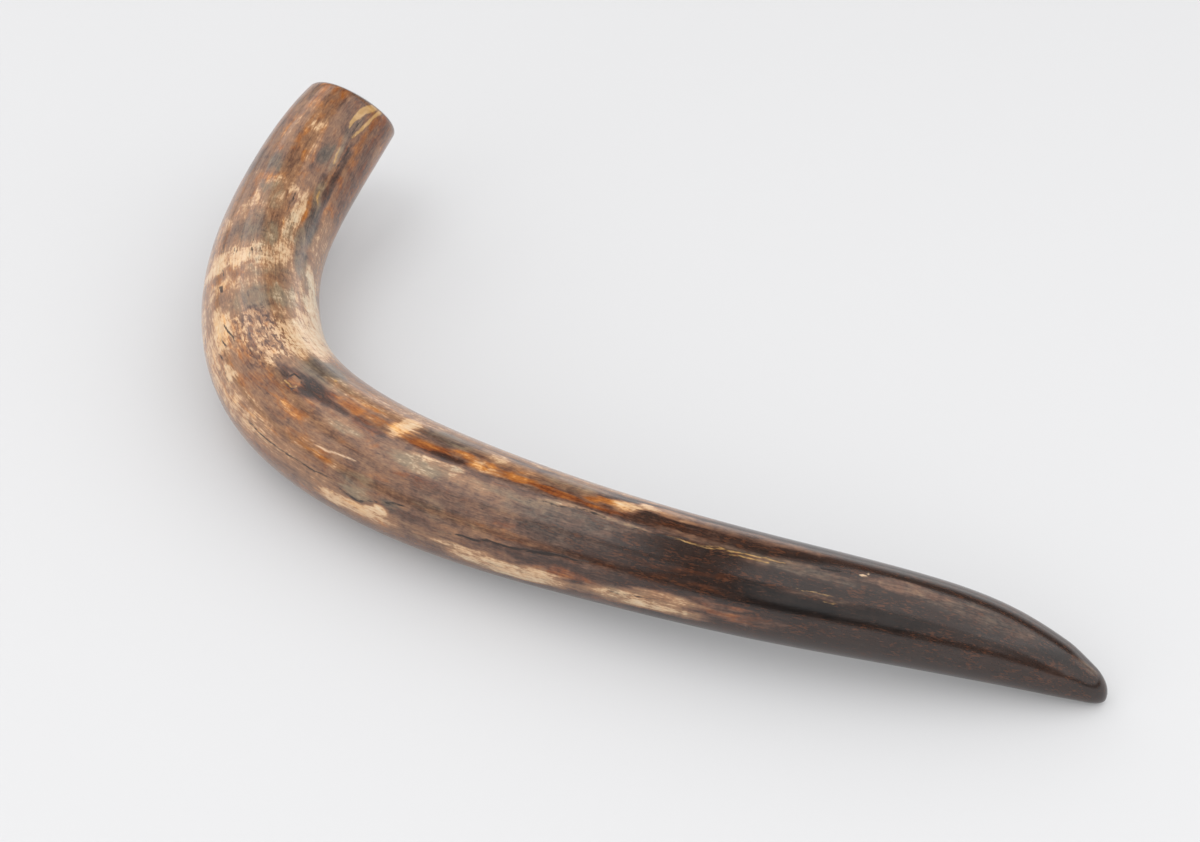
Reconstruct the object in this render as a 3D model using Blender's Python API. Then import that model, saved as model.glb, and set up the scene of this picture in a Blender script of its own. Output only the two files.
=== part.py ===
# A mammoth tusk: one solid of old, stained and polished ivory that lies on a table.
# It bends like an L with a round corner. Its thick end is sawn off, and its tip is worn blunt.
# Metres, +Z up. X runs along the long limb towards the tip, and Y towards the sawn end.
# The origin is at table height, under the middle of the box around the tusk.

import math

import bmesh
import bpy
import numpy as np
from mathutils import Matrix, Vector

MM = 0.001

# The line that the tusk grew along, from past the sawn end to the tip, in millimetres:
# x and y of the tusk's middle, the air under it, and its radius.
GROWTH_LINE = (
    (-338, 208, 60.0, 35.0),
    (-343, 165, 43.5, 40.5),
    (-345, 98, 20.0, 43.0),
    (-333, 32, 7.0, 43.5),
    (-297, -44, 0.5, 45.0),
    (-237, -110, 0.0, 45.0),
    (-153, -147, 0.0, 44.5),
    (-53, -162, 2.5, 42.5),
    (51, -165, 9.5, 38.5),
    (159, -158, 13.5, 35.5),
    (251, -140, 10.5, 32.0),
    (317, -125, 4.5, 26.0),
    (374, -117, 0.0, 14.0),
)

# The saw cut: how far it is past the line's second point, and how much its face looks
# further up, and further out from the bend, than the tusk does there.
SAW_OFFSET = 21 * MM
SAW_LEANS_UP = math.radians(18)
SAW_LEANS_OUT = math.radians(1)
SAWN_EDGE_RADIUS = 6 * MM
SAWN_EDGE_STEPS = 3

# Low lengthwise swellings: waves round the tusk, their height as a share of the radius,
# how far they turn along the whole tusk, and where they start.
SWELLINGS = (
    (2, 0.012, math.radians(50), math.radians(20)),
    (3, 0.007, math.radians(-70), math.radians(80)),
    (5, 0.004, math.radians(90), math.radians(10)),
)
# The swellings die out over this much of the tusk before the tip.
PLAIN_TIP = 0.12

RINGS = 78
POINTS_ROUND = 48
NOSE_RINGS = 5
# The worn tip sticks out by this share of its radius.
NOSE_REACH = 0.9

IVORY_BROWN = (0.110, 0.045, 0.018, 1.0)
IVORY_ROUGHNESS = 0.25


def natural_spline(knots, values, places):
    """Values at the places on the natural cubic curve through the values at the knots."""
    gaps = np.diff(knots)
    slopes = np.diff(values) / gaps
    count = len(knots)
    matrix = np.eye(count)
    right_side = np.zeros(count)
    for i in range(1, count - 1):
        matrix[i, i - 1] = gaps[i - 1]
        matrix[i, i] = 2 * (gaps[i - 1] + gaps[i])
        matrix[i, i + 1] = gaps[i]
        right_side[i] = 6 * (slopes[i] - slopes[i - 1])
    bends = np.linalg.solve(matrix, right_side)
    span = np.clip(np.searchsorted(knots, places, side="right") - 1, 0, count - 2)
    along = places - knots[span]
    gap = gaps[span]
    first = slopes[span] - gap * (2 * bends[span] + bends[span + 1]) / 6
    third = (bends[span + 1] - bends[span]) / (6 * gap)
    return values[span] + along * (first + along * (bends[span] / 2 + along * third))


def growth_curve(ring_count):
    """Middle, radius and share of the whole length of each ring, evenly along the tusk."""
    table = np.array(GROWTH_LINE, dtype=float) * MM
    middles = np.column_stack((table[:, 0], table[:, 1], table[:, 2] + table[:, 3]))
    steps = np.linalg.norm(np.diff(middles, axis=0), axis=1)
    knots = np.concatenate(([0.0], np.cumsum(steps)))
    places = np.linspace(0.0, knots[-1], ring_count)
    points = np.column_stack([natural_spline(knots, middles[:, i], places) for i in range(3)])
    radii = natural_spline(knots, table[:, 3], places)
    return points, radii, places / knots[-1]


def ring_frame(middle, ahead):
    """A matrix at the middle whose X is sideways, whose Y is upwards and whose Z looks ahead."""
    forward = Vector(ahead).normalized()
    sideways = Vector((0, 0, 1)).cross(forward).normalized()
    upwards = forward.cross(sideways)
    frame = Matrix((sideways, upwards, forward)).transposed().to_4x4()
    frame.translation = Vector(middle)
    return frame


def swelling(angle, share):
    """Radius at an angle round the tusk, as a share of the plain radius."""
    fade = min(1.0, (1.0 - share) / PLAIN_TIP)
    height = 0.0
    for waves, size, turn, start in SWELLINGS:
        height += size * math.cos(waves * angle + start + turn * share)
    return 1.0 + height * fade


def add_ring(mesh, frame, radius, share):
    """One ring of points, and its edges, round the growth line."""
    corners = []
    for k in range(POINTS_ROUND):
        angle = 2 * math.pi * k / POINTS_ROUND
        reach = radius * swelling(angle, share)
        corners.append(mesh.verts.new(frame @ Vector((reach * math.sin(angle), reach * math.cos(angle), 0))))
    return [mesh.edges.new((corners[k - 1], corners[k])) for k in range(POINTS_ROUND)]


def grow_body(mesh):
    """The tusk from past the sawn end to the round nose of the tip, open at the thick end."""
    points, radii, shares = growth_curve(RINGS)
    directions = np.gradient(points, axis=0)
    rings = []
    for point, ahead, radius, share in zip(points, directions, radii, shares):
        rings.append(add_ring(mesh, ring_frame(point, ahead), radius, share))

    tip = ring_frame(points[-1], directions[-1])
    for k in range(1, NOSE_RINGS):
        turn = 0.5 * math.pi * k / NOSE_RINGS
        nose = tip @ Matrix.Translation((0, 0, NOSE_REACH * radii[-1] * math.sin(turn)))
        rings.append(add_ring(mesh, nose, radii[-1] * math.cos(turn), 1.0))

    for ring, following in zip(rings, rings[1:]):
        bmesh.ops.bridge_loops(mesh, edges=ring + following)
    pole = mesh.verts.new(tip @ Vector((0, 0, NOSE_REACH * radii[-1])))
    for edge in rings[-1]:
        mesh.faces.new((edge.verts[0], edge.verts[1], pole))


def saw_off(mesh):
    """Cuts the thick end flat, closes it and softens its sharp edge."""
    table = np.array(GROWTH_LINE, dtype=float) * MM
    middles = [Vector((x, y, air + radius)) for x, y, air, radius in table]
    outwards = (middles[0] - middles[1]).normalized()
    frame = ring_frame(middles[1], outwards)
    lean_up = Matrix.Rotation(-SAW_LEANS_UP, 3, frame.col[0].to_3d())
    lean_out = Matrix.Rotation(SAW_LEANS_OUT, 3, frame.col[1].to_3d())
    across = lean_out @ lean_up @ outwards
    geometry = mesh.verts[:] + mesh.edges[:] + mesh.faces[:]
    cut = bmesh.ops.bisect_plane(
        mesh,
        geom=geometry,
        plane_co=middles[1] + outwards * SAW_OFFSET,
        plane_no=across,
        clear_outer=True,
    )
    rim = [item for item in cut["geom_cut"] if isinstance(item, bmesh.types.BMEdge)]
    bmesh.ops.holes_fill(mesh, edges=rim)
    bmesh.ops.bevel(
        mesh,
        geom=rim,
        offset=SAWN_EDGE_RADIUS,
        segments=SAWN_EDGE_STEPS,
        profile=0.5,
        affect="EDGES",
    )


def stand_on_table(mesh):
    """Moves the tusk so that it touches z = 0 and the middle of its box is over the origin."""
    places = np.array([vert.co for vert in mesh.verts])
    lowest = places.min(axis=0)
    highest = places.max(axis=0)
    middle = (lowest + highest) / 2
    bmesh.ops.translate(mesh, verts=mesh.verts, vec=(-middle[0], -middle[1], -lowest[2]))


def ivory():
    """Old ivory, stained brown and polished to a soft gloss."""
    material = bpy.data.materials.new("Stained ivory")
    material.use_nodes = True
    shader = material.node_tree.nodes["Principled BSDF"]
    shader.inputs["Base Color"].default_value = IVORY_BROWN
    shader.inputs["Roughness"].default_value = IVORY_ROUGHNESS
    shader.inputs["Metallic"].default_value = 0.0
    return material


def tusk():
    """The tusk as one closed solid."""
    mesh = bmesh.new()
    grow_body(mesh)
    saw_off(mesh)
    bmesh.ops.recalc_face_normals(mesh, faces=mesh.faces)
    if mesh.calc_volume(signed=True) < 0:
        bmesh.ops.reverse_faces(mesh, faces=mesh.faces)
    stand_on_table(mesh)
    data = bpy.data.meshes.new("tusk")
    mesh.to_mesh(data)
    mesh.free()
    data.shade_smooth()
    data.set_sharp_from_angle(angle=math.radians(40))
    data.materials.append(ivory())
    piece = bpy.data.objects.new("tusk", data)
    bpy.context.scene.collection.objects.link(piece)
    return piece


def main():
    for item in list(bpy.data.objects):
        bpy.data.objects.remove(item)
    tusk()


main()
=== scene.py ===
# The finish of a mammoth tusk: old ivory, stained by the ground and polished, on a pale table.
# Metres, +Z up. X runs along the tusk's long limb towards the tip, and Y towards its sawn end.

import math

import bpy
import numpy as np
from mathutils import Matrix, Vector, noise


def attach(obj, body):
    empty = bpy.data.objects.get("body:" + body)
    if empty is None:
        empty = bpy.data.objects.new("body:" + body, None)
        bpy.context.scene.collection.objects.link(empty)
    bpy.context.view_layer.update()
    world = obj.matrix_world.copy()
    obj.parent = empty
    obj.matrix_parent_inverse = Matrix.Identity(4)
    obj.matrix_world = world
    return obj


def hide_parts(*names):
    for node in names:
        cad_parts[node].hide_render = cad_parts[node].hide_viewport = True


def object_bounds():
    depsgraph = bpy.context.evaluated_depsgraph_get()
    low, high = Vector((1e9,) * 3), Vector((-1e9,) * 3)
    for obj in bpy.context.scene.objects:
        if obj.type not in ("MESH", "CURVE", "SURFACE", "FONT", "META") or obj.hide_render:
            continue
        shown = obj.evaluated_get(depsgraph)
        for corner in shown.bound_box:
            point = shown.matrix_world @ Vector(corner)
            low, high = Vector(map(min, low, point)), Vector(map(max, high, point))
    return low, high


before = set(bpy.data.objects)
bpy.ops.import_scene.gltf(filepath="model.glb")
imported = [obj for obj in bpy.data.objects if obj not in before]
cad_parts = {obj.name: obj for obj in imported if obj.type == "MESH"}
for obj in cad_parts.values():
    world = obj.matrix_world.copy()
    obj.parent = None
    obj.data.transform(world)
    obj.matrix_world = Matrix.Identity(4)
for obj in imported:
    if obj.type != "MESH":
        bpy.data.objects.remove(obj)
CAD_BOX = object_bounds()
MM = 0.001

# The line that the tusk grew along, from past the sawn end to the tip, in millimetres:
# x and y of the tusk's middle, the air under it, and its radius.
GROWTH_LINE = (
    (-338, 208, 60.0, 35.0),
    (-343, 165, 43.5, 40.5),
    (-345, 98, 20.0, 43.0),
    (-333, 32, 7.0, 43.5),
    (-297, -44, 0.5, 45.0),
    (-237, -110, 0.0, 45.0),
    (-153, -147, 0.0, 44.5),
    (-53, -162, 2.5, 42.5),
    (51, -165, 9.5, 38.5),
    (159, -158, 13.5, 35.5),
    (251, -140, 10.5, 32.0),
    (317, -125, 4.5, 26.0),
    (374, -117, 0.0, 14.0),
)

# The saw cut: how far it is past the line's second point, and how much its face looks
# further up, and further out from the bend, than the tusk does there.
SAW_OFFSET = 21 * MM
SAW_LEANS_UP = math.radians(18)
SAW_LEANS_OUT = math.radians(1)
SAWN_EDGE_RADIUS = 4.5 * MM
# The edge is worn rounder on the inside of the bend: by how much, and at which angle most.
INNER_EDGE_WEAR = 3.0 * MM
INNER_EDGE_ANGLE = math.radians(85)
# The saw cut meets the wall within this length of the growth line's start.
SAW_SEARCH = 110 * MM
SAW_SEARCH_STEPS = 110

# Low lengthwise swellings: waves round the tusk, their height as a share of the radius,
# how far they turn along the whole tusk, and where they start.
SWELLINGS = (
    (2, 0.012, math.radians(50), math.radians(20)),
    (3, 0.007, math.radians(-70), math.radians(80)),
    (5, 0.004, math.radians(90), math.radians(10)),
)
# They fade out over this last share of the tusk's length.
PLAIN_TIP = 0.12

# The worn tip: the length over which it narrows, the share of the radius that it loses
# and how steeply, how far the nose goes on past the line's end, where on an ellipse the
# nose begins, and how much the nose's middle sinks as a share of what its radius loses.
TIP_WEAR_LENGTH = 22 * MM
TIP_WEAR = 0.12
TIP_WEAR_POWER = 1.5
NOSE_LENGTH = 15 * MM
NOSE_START = math.radians(40)
NOSE_DROOP = 0.5

# Rows of points from the middle of the sawn face, over its edge, along the wall and round the tip
FACE_ROWS = 10
EDGE_ROWS = 5
WALL_ROWS = 260
NOSE_ROWS = 8
POINTS_ROUND = 348
# How far out the rounded edge begins, from 0 in the middle of the sawn face to 1 on the wall
EDGE_BEGINS = 0.9
# Points closer than this are welded.
WELD_DISTANCE = 0.005 * MM
# The growth line is sampled a little past its ends to find its directions.
CURVE_SAMPLES = 4000
CURVE_MARGIN = 1.0 * MM

# The camera looks down on the tusk from the side of its long limb: degrees, metres and millimetres.
CAMERA_AZIMUTH = 25.0
CAMERA_ELEVATION = 40.0
CAMERA_DISTANCE = 1.75
CAMERA_TARGET = Vector((-0.0348, 0.0040, 0.0))
CAMERA_LENS = 70.0
CAMERA_SENSOR = 36.0

# How dark the ivory is along the tusk before its patches: millimetres along, and a tone
# from 0, clean cream ivory, to 1, stained nearly black.
TONE_ALONG = (
    (0, 0.54),
    (110, 0.53),
    (160, 0.45),
    (230, 0.41),
    (300, 0.42),
    (390, 0.48),
    (500, 0.55),
    (600, 0.64),
    (680, 0.72),
    (750, 0.84),
    (984, 0.84),
)

# How warm the ivory is along the tusk before its patches, on the scale that they have
WARMTH_ALONG = (
    (150, 0.64),
    (230, 0.5),
)

# Stained and clean patches, painted one over another: millimetres along, degrees round from
# the top towards the inside of the bend, half length, half width in degrees, tone, and
# warmth from 0 or a little less, grey and olive, through 0.5, reddish brown, to 1, amber.
PATCHES = (
    # the thick end, from its rim to the first dark band
    (48, 32, 16, 14, 0.62, 0.54),
    (72, 26, 26, 13, 0.55, 0.48),
    (66, 48, 22, 5, 0.60, 0.26),
    (55, -25, 14, 14, 0.50, 0.45),
    (72, 2, 16, 8, 0.46, 0.62),
    (81, 12, 5, 9, 0.30, 0.40),
    (92, -14, 20, 7, 0.46, 0.60),
    (96, 20, 16, 4, 0.42, 0.60),
    (101, 36, 14, 6, 0.66, -0.05),
    (98, 47, 15, 4, 0.44, 0.10),
    (125, 45, 10, 5, 0.62, 0.56),
    (143, 50, 16, 8, 0.46, 0.02),
    (182, 53, 28, 9, 0.68, 0.00),
    (118, 58, 46, 4, 0.68, 0.60),
    (80, 68, 60, 7, 0.55, 0.68),
    (90, 84, 60, 10, 0.62, 0.64),
    (185, 76, 35, 12, 0.44, 0.42),
    (125, -32, 14, 24, 0.58, 0.32),
    (152, -34, 10, 12, 0.56, 0.55),
    (125, 6, 14, 9, 0.56, 0.45),
    (130, -8, 11, 8, 0.58, 0.10),
    (131, -7, 4, 5, 0.62, 0.00),
    (136, 20, 12, 8, 0.46, 0.54),
    (168, -38, 26, 16, 0.48, 0.50),
    (170, 6, 22, 14, 0.44, 0.22),
    (174, -12, 14, 4, 0.33, 0.52),
    (157, -5, 5, 8, 0.50, 0.00),
    (188, -22, 12, 7, 0.42, 0.60),
    (149, 8, 4, 16, 0.37, 0.50),
    (154, 25, 6, 6, 0.34, 0.44),
    (166, 34, 17, 6, 0.28, 0.36),
    (190, 30, 12, 6, 0.30, 0.15),
    (170, 25, 16, 2, 0.52, 0.50),
    (168, 42, 26, 3, 0.50, 0.75),
    # the dark blotch and the pale rings past it
    (202, -40, 14, 11, 0.38, 0.55),
    (214, -34, 12, 6, 0.52, 0.60),
    (212, -4, 18, 22, 0.55, 0.22),
    (214, -6, 8, 12, 0.55, 0.04),
    (220, 14, 16, 8, 0.44, -0.06),
    (208, 31, 12, 6, 0.38, 0.02),
    (236, 28, 20, 6, 0.30, 0.36),
    (206, 44, 14, 6, 0.50, 0.04),
    (234, 48, 26, 8, 0.58, 0.04),
    (245, -32, 10, 36, 0.23, 0.54),
    (244, 4, 9, 14, 0.33, 0.24),
    (246, 22, 10, 8, 0.27, 0.26),
    (262, -26, 6, 42, 0.45, 0.66),
    (265, 8, 7, 18, 0.41, 0.18),
    (273, -32, 5, 26, 0.33, 0.58),
    (274, -6, 5, 11, 0.44, 0.36),
    (270, 28, 14, 9, 0.50, 0.36),
    (288, -34, 10, 16, 0.46, 0.62),
    (300, 0, 18, 30, 0.48, 0.12),
    (300, -4, 12, 12, 0.51, 0.04),
    (300, 22, 16, 8, 0.42, -0.12),
    (292, 34, 14, 6, 0.36, 0.05),
    # the bend: clean ivory inside it, spotted on top, amber outside
    (280, 62, 44, 14, 0.20, -0.05),
    (268, 52, 22, 4, 0.44, 0.16),
    (335, 68, 60, 18, 0.20, 0.22),
    (350, 34, 34, 20, 0.22, 0.32),
    (356, 10, 22, 16, 0.23, 0.40),
    (322, 24, 10, 13, 0.45, 0.36),
    (345, -14, 30, 18, 0.36, 0.54),
    (366, -12, 7, 9, 0.26, 0.52),
    (330, -26, 14, 6, 0.32, 0.66),
    (318, -45, 20, 11, 0.24, 0.64),
    (335, -75, 70, 16, 0.34, 0.56),
    (366, -45, 26, 14, 0.46, 0.64),
    (350, -31, 13, 6, 0.48, 0.74),
    (351, -56, 5, 6, 0.26, 0.45),
    (388, -34, 26, 7, 0.52, 0.66),
    (395, -60, 22, 12, 0.42, 0.62),
    # the top of the long limb: dark and pale patches in turn, with an amber band beside them
    (403, 10, 17, 20, 0.60, -0.16),
    (428, 8, 11, 14, 0.38, 0.22),
    (404, -17, 22, 7, 0.74, 0.62),
    (420, -11, 22, 7, 0.88, 0.70),
    (420, 9, 5, 7, 0.40, 0.16),
    (440, -14, 14, 3, 0.72, 0.66),
    (452, -6, 26, 5, 0.50, 0.86),
    (470, -14, 16, 3, 0.66, 0.80),
    (464, 18, 22, 15, 0.44, 0.48),
    (455, 4, 18, 4, 0.40, 0.70),
    (492, -2, 10, 9, 0.24, 0.86),
    (494, 10, 9, 11, 0.19, 0.64),
    (500, 28, 14, 12, 0.34, 0.46),
    (520, -7, 16, 5, 0.58, 0.94),
    (532, -11, 18, 3, 0.78, 0.80),
    (526, 12, 19, 13, 0.58, 0.06),
    (546, -2, 10, 4, 0.46, 0.90),
    (562, -6, 13, 6, 0.38, 0.84),
    (567, 11, 14, 8, 0.36, 0.44),
    (590, -5, 16, 5, 0.49, 0.98),
    (588, 8, 10, 6, 0.40, 0.60),
    (630, -7, 32, 4, 0.60, 0.98),
    (622, 12, 21, 12, 0.51, 0.22),
    (650, 2, 12, 4, 0.50, 0.90),
    (664, 4, 8, 8, 0.22, 0.62),
    (677, 14, 7, 6, 0.10, 0.52),
    (700, 12, 26, 7, 0.42, 0.58),
    (580, 34, 140, 10, 0.42, 0.45),
    (704, -4, 24, 5, 0.74, 0.66),
    (740, 2, 46, 5, 0.76, 0.50),
    (760, 14, 50, 8, 0.62, 0.45),
    (835, 5, 40, 6, 0.76, 0.66),
    (900, -18, 90, 34, 0.86, 0.30),
    (800, -22, 36, 5, 0.74, 0.16),
    (905, -18, 44, 14, 0.71, 0.14),
    (955, -27, 18, 12, 0.93, 0.30),
    (978, -4, 8, 14, 0.66, 0.05),
    (852, -10, 30, 8, 0.62, 0.30),
    (399.5, -17, 5.5, 6, 0.50, 0.66),
    # the face that looks up and forwards
    (430, -44, 40, 20, 0.52, 0.52),
    (412, -38, 16, 5, 0.44, 0.80),
    (436, -57, 26, 5, 0.46, 0.66),
    (404, -52, 10, 5, 0.58, 0.60),
    (460, -27, 12, 5, 0.42, 0.10),
    (472, -38, 24, 5, 0.56, 0.50),
    (520, -27, 26, 8, 0.42, 0.00),
    (528, -20, 18, 3, 0.35, 0.20),
    (545, -22, 5, 4, 0.40, 0.10),
    (562, -28, 14, 6, 0.44, 0.44),
    (500, -50, 30, 8, 0.56, 0.50),
    (452, -68, 22, 5, 0.54, 0.56),
    (564, -50, 28, 16, 0.60, 0.44),
    (536, -60, 12, 8, 0.59, 0.24),
    (600, -24, 30, 5, 0.53, 0.10),
    (612, -32, 26, 6, 0.63, 0.16),
    (482, -66, 12, 8, 0.53, 0.10),
    (484, -76, 12, 5, 0.46, -0.05),
    (512, -74, 9, 7, 0.66, -0.10),
    (485, -84, 15, 3, 0.66, 0.40),
    (530, -77, 18, 6, 0.65, 0.44),
    (560, -67, 24, 5, 0.56, 0.40),
    (620, -78, 44, 5, 0.73, 0.56),
    (600, -60, 30, 7, 0.58, 0.56),
    (650, -46, 44, 18, 0.71, 0.22),
    (664, -58, 24, 6, 0.76, 0.62),
    (645, -18, 40, 3, 0.46, 0.22),
    (650, -25, 36, 4, 0.66, 0.16),
    (716, -42, 44, 18, 0.88, 0.62),
    (700, -50, 20, 3, 0.80, 0.84),
    (728, -46, 24, 3, 0.78, 0.84),
    (744, -60, 20, 4, 0.70, 0.80),
    (716, -26, 34, 5, 0.86, 0.40),
    (715, -13, 26, 3, 0.62, 0.34),
    (796, -58, 50, 10, 0.98, 0.36),
    (768, -50, 22, 8, 0.95, 0.44),
    (806, -42, 22, 3.5, 0.70, 0.20),
    (785, -32, 40, 6, 0.88, 0.44),
    (775, -15, 42, 7, 0.68, 0.06),
    (850, -52, 30, 8, 0.94, 0.30),
    # the lower edge of the long limb
    (478, -95, 26, 10, 0.27, 0.56),
    (500, -84, 8, 4, 0.22, 0.50),
    (530, -92, 18, 8, 0.56, 0.36),
    (596, -103, 44, 10, 0.26, 0.28),
    (560, -92, 18, 4, 0.30, 0.34),
    (622, -92, 14, 6, 0.30, 0.44),
    (640, -86, 22, 5, 0.61, 0.70),
    (690, -97, 38, 11, 0.33, 0.24),
    (712, -82, 24, 6, 0.40, 0.40),
    (760, -88, 22, 8, 0.58, 0.72),
    (745, -75, 26, 4, 0.67, 0.62),
    (870, -100, 100, 30, 0.86, 0.35),
)

# Narrow marks with crisp edges: strokes of points, each with its millimetres along, its
# degrees round and half its width in millimetres.
OCHRE_VEINS = (
    # the forked vein at the sawn end
    ((29, 58, 2.4), (37, 53, 2.8), (43, 47, 3.2), (49, 43, 2.5), (57, 42, 1.5), (66, 43, 0.8)),
    ((44, 59, 1.0), (52, 57, 1.5), (59, 56, 1.4), (66, 53, 1.0), (71, 51, 0.6)),
    ((22, 74, 1.2), (28, 66, 1.6), (34, 62, 1.5), (41, 60, 1.0)),
    ((86, 46, 0.3), (94, 47, 0.9), (104, 49, 0.3)),
    ((138, 48, 0.3), (146, 49, 1.0), (156, 54, 0.4)),
    # the edges of plugs of another colour
    ((394, -21, 0.4), (401, -22, 0.5), (405, -17, 0.4)),
    ((391.5, -25, 0.9), (393, -25, 0.8)),
    ((417, 13, 0.6), (420, 9, 1.2), (423, 7, 0.5)),
    ((778, -38, -0.5), (800, -40, 0.2), (828, -41, -0.4)),
    ((788, -45, -0.5), (808, -46, 0.1), (822, -45, -0.5)),
    ((724, -17, 0.1), (745, -16, 0.3), (762, -15, 0.5), (777, -14, 0.2)),
    ((736, -20, 0.1), (752, -20, 0.3), (768, -18, 0.1)),
    ((700, -18, 0.1), (716, -19, 0.4), (734, -19, 0.1)),
)
PALE_FLECKS = (
    ((425, -61, 0.2), (431, -61, 0.5), (435, -61, 0.2)),
    ((440, -53, 0.3), (450, -52, 0.8), (462, -50, 0.6), (478, -49, 0.2)),
    ((823, -8, 0.8), (826, -6, 1.1), (828, -4, 0.6)),
)
DARK_LINES = (
    # beside the forked vein
    ((38, 58, 0.3), (46, 51, 0.6), (55, 49, 0.7), (66, 49, 0.6), (75, 52, 0.4)),
    ((74, 55, 0.4), (90, 55, 0.7), (104, 54, 0.8), (114, 51, 0.5), (128, 50, 0.5)),
    ((150, 24, 0.4), (165, 24, 0.7), (182, 23, 0.3)),
    # short dashes in and near the pale band
    ((232, -22, 0.6), (240, -22, 0.9)),
    ((236, -20, 0.5), (242, -19, 0.6)),
    ((236, -4, 0.7), (244, -3, 1.0)),
    ((244, -5, 0.5), (253, -4, 0.6)),
    ((238, 4, 0.7), (248, 7, 0.9)),
    ((221, -36, 0.9), (232, -35, 0.8)),
    ((225, -3, 0.5), (233, -3, 0.5)),
    ((253, -33, 0.6), (263, -32, 0.8)),
    ((272, -36, 1.6), (278, -35, 1.8)),
    ((262, -10, 0.5), (270, -10, 0.5)),
    ((312, -40, 0.6), (326, -36, 1.2), (334, -34, 0.6)),
    ((320, -48, 0.5), (332, -45, 0.8)),
    ((326, -58, 0.5), (336, -54, 0.7)),
    # round the plug at the bend's outer side
    ((342, -52, 0.5), (347, -61, 0.7), (355, -62, 0.8), (360, -57, 0.7), (354, -51, 0.5)),
    # round the plug beside the amber band
    (
        (393, -19, 0.8), (394, -12, 0.9), (401, -10, 1.0),
        (407, -15, 0.9), (404, -23, 0.8), (397, -24, 0.7),
    ),
    # the drying cracks of the long limb
    (
        (545, -81, 0.7), (560, -79, 0.9), (585, -74, 1.1),
        (605, -72, 1.2), (630, -68, 1.0), (655, -65, 0.7),
    ),
    ((380, -75, 0.6), (400, -77, 0.9), (430, -76, 0.7), (452, -76, 1.0), (468, -75, 0.6)),
    ((468, -81, 0.6), (484, -84, 1.2), (492, -80, 0.8), (502, -73, 0.9), (520, -68, 0.6)),
    ((600, -19, 0.4), (618, -21, 0.6), (632, -17, 0.6), (648, -16, 0.9), (662, -18, 0.4)),
    ((648, -17, 1.2), (650, -15, 1.0)),
    ((670, -18, 0.4), (690, -20, 0.8), (702, -19, 0.7), (715, -15, 0.4)),
    ((796, -11, 0.9), (810, -10, 1.0)),
    ((815, -9, 0.9), (817, -9, 0.8)),
    ((778, -12, 0.7), (781, -11, 0.6)),
    ((668, -93, 0.4), (690, -90, 0.7), (706, -86, 0.5)),
)

# How far out a patch starts to fade in, and where it is full, as shares of its half size
PATCH_FADES_IN = 1.45
PATCH_IS_FULL = 0.6

# The spotted patch in the bend: millimetres along, degrees round, half length, half width in
# degrees, and where it starts and is full as shares of these
SPOTTED_ALONG = 345
SPOTTED_ANGLE = -10
SPOTTED_HALF_LENGTH = 38
SPOTTED_HALF_WIDTH = 26
SPOTS_FADE_IN = 1.2
SPOTS_ARE_FULL = 0.7

# Random drifts that make the stains uneven: length along and width across in millimetres,
# where in the noise each starts, and its strength. The first three move the patches along,
# in millimetres, and the next three turn patches or marks, in degrees, on a tusk of the
# middle radius. The last two change the tone and the warmth.
FRINGE = (30.0, 2.2, 0.0, 4.5)
FINE_FRINGE = (16.0, 1.2, 200.0, 1.8)
WAVER = (22.0, 9.0, 40.0, 7.0)
SWERVE = (26.0, 10.0, 80.0, 4.5)
SWAY = (15.0, 3.0, 240.0, 1.6)
WRIGGLE = (9.0, 12.0, 280.0, 2.4)
TONE_DRIFT = (45.0, 16.0, 120.0, 0.12)
WARMTH_DRIFT = (40.0, 12.0, 160.0, 0.25)
# The middle radius, and the least radius that stains are worked out with, in millimetres
MIDDLE_REACH = 40.0
LEAST_REACH = 5.0

# A mark is looked for this far round each stretch of its stroke, in millimetres, and a point
# that is in no stroke counts as this far outside.
STROKE_SEARCH = 12
FAR_OUTSIDE = -8.0

# The grain of the ivory, as noise: the length and width of a streak in millimetres, its
# detail, how much it bends, and where in the noise it starts.
STREAKS = (18.0, 1.7, 4.0, 0.5, 3.0)
THREADS = (40.0, 1.1, 2.0, 0.0, 47.0)
MOTTLE = (12.0, 6.0, 5.0, 0.8, 11.0)
BANDS = (7.0, 24.0, 3.0, 0.6, 83.0)
FINE_GRAIN = (3.2, 0.9, 2.0, 0.0, 23.0)
TINT = (14.0, 5.0, 3.0, 0.6, 61.0)
SPOTTING = (8.0, 3.0, 3.0, 0.6, 31.0)
RUST_GRAIN = (4.0, 0.9, 2.0, 0.0, 71.0)
GRAIN_ROUGHNESS = 0.55

# How far each grain swings the tone, how much of that shows on the palest ivory, and how much
# less on the darkest
STREAK_SWING = 0.30
THREAD_SWING = 0.17
MOTTLE_SWING = 0.46
BAND_SWING = 0.24
FINE_SWING = 0.32
GRAIN_ON_PALE = 1.5
GRAIN_LOST_IN_DARK = -1.2
SPOT_DARKENING = 0.22
SPOT_EDGE = (0.48, 0.56)
TINT_SWING = 1.1

# The ivory's colours, from clean to darkest, at the same places on the scale of tone
SHADE_PLACES = (0.0, 0.27, 0.40, 0.62, 0.74, 1.0)
COOL_SHADES = ("#cbbda4", "#b29f84", "#816e57", "#594b3f", "#332c28", "#131211")
BROWN_SHADES = ("#ccb89b", "#bb9874", "#8b664a", "#5b4134", "#34251f", "#120e0d")
AMBER_SHADES = ("#d8b987", "#c8945a", "#a0642e", "#6e3a1c", "#3f2111", "#150b08")
# Over which warmths cool ivory turns brown, and brown ivory amber
COOL_TO_BROWN = (-0.2, 0.5)
BROWN_TO_AMBER = (0.5, 1.0)

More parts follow.
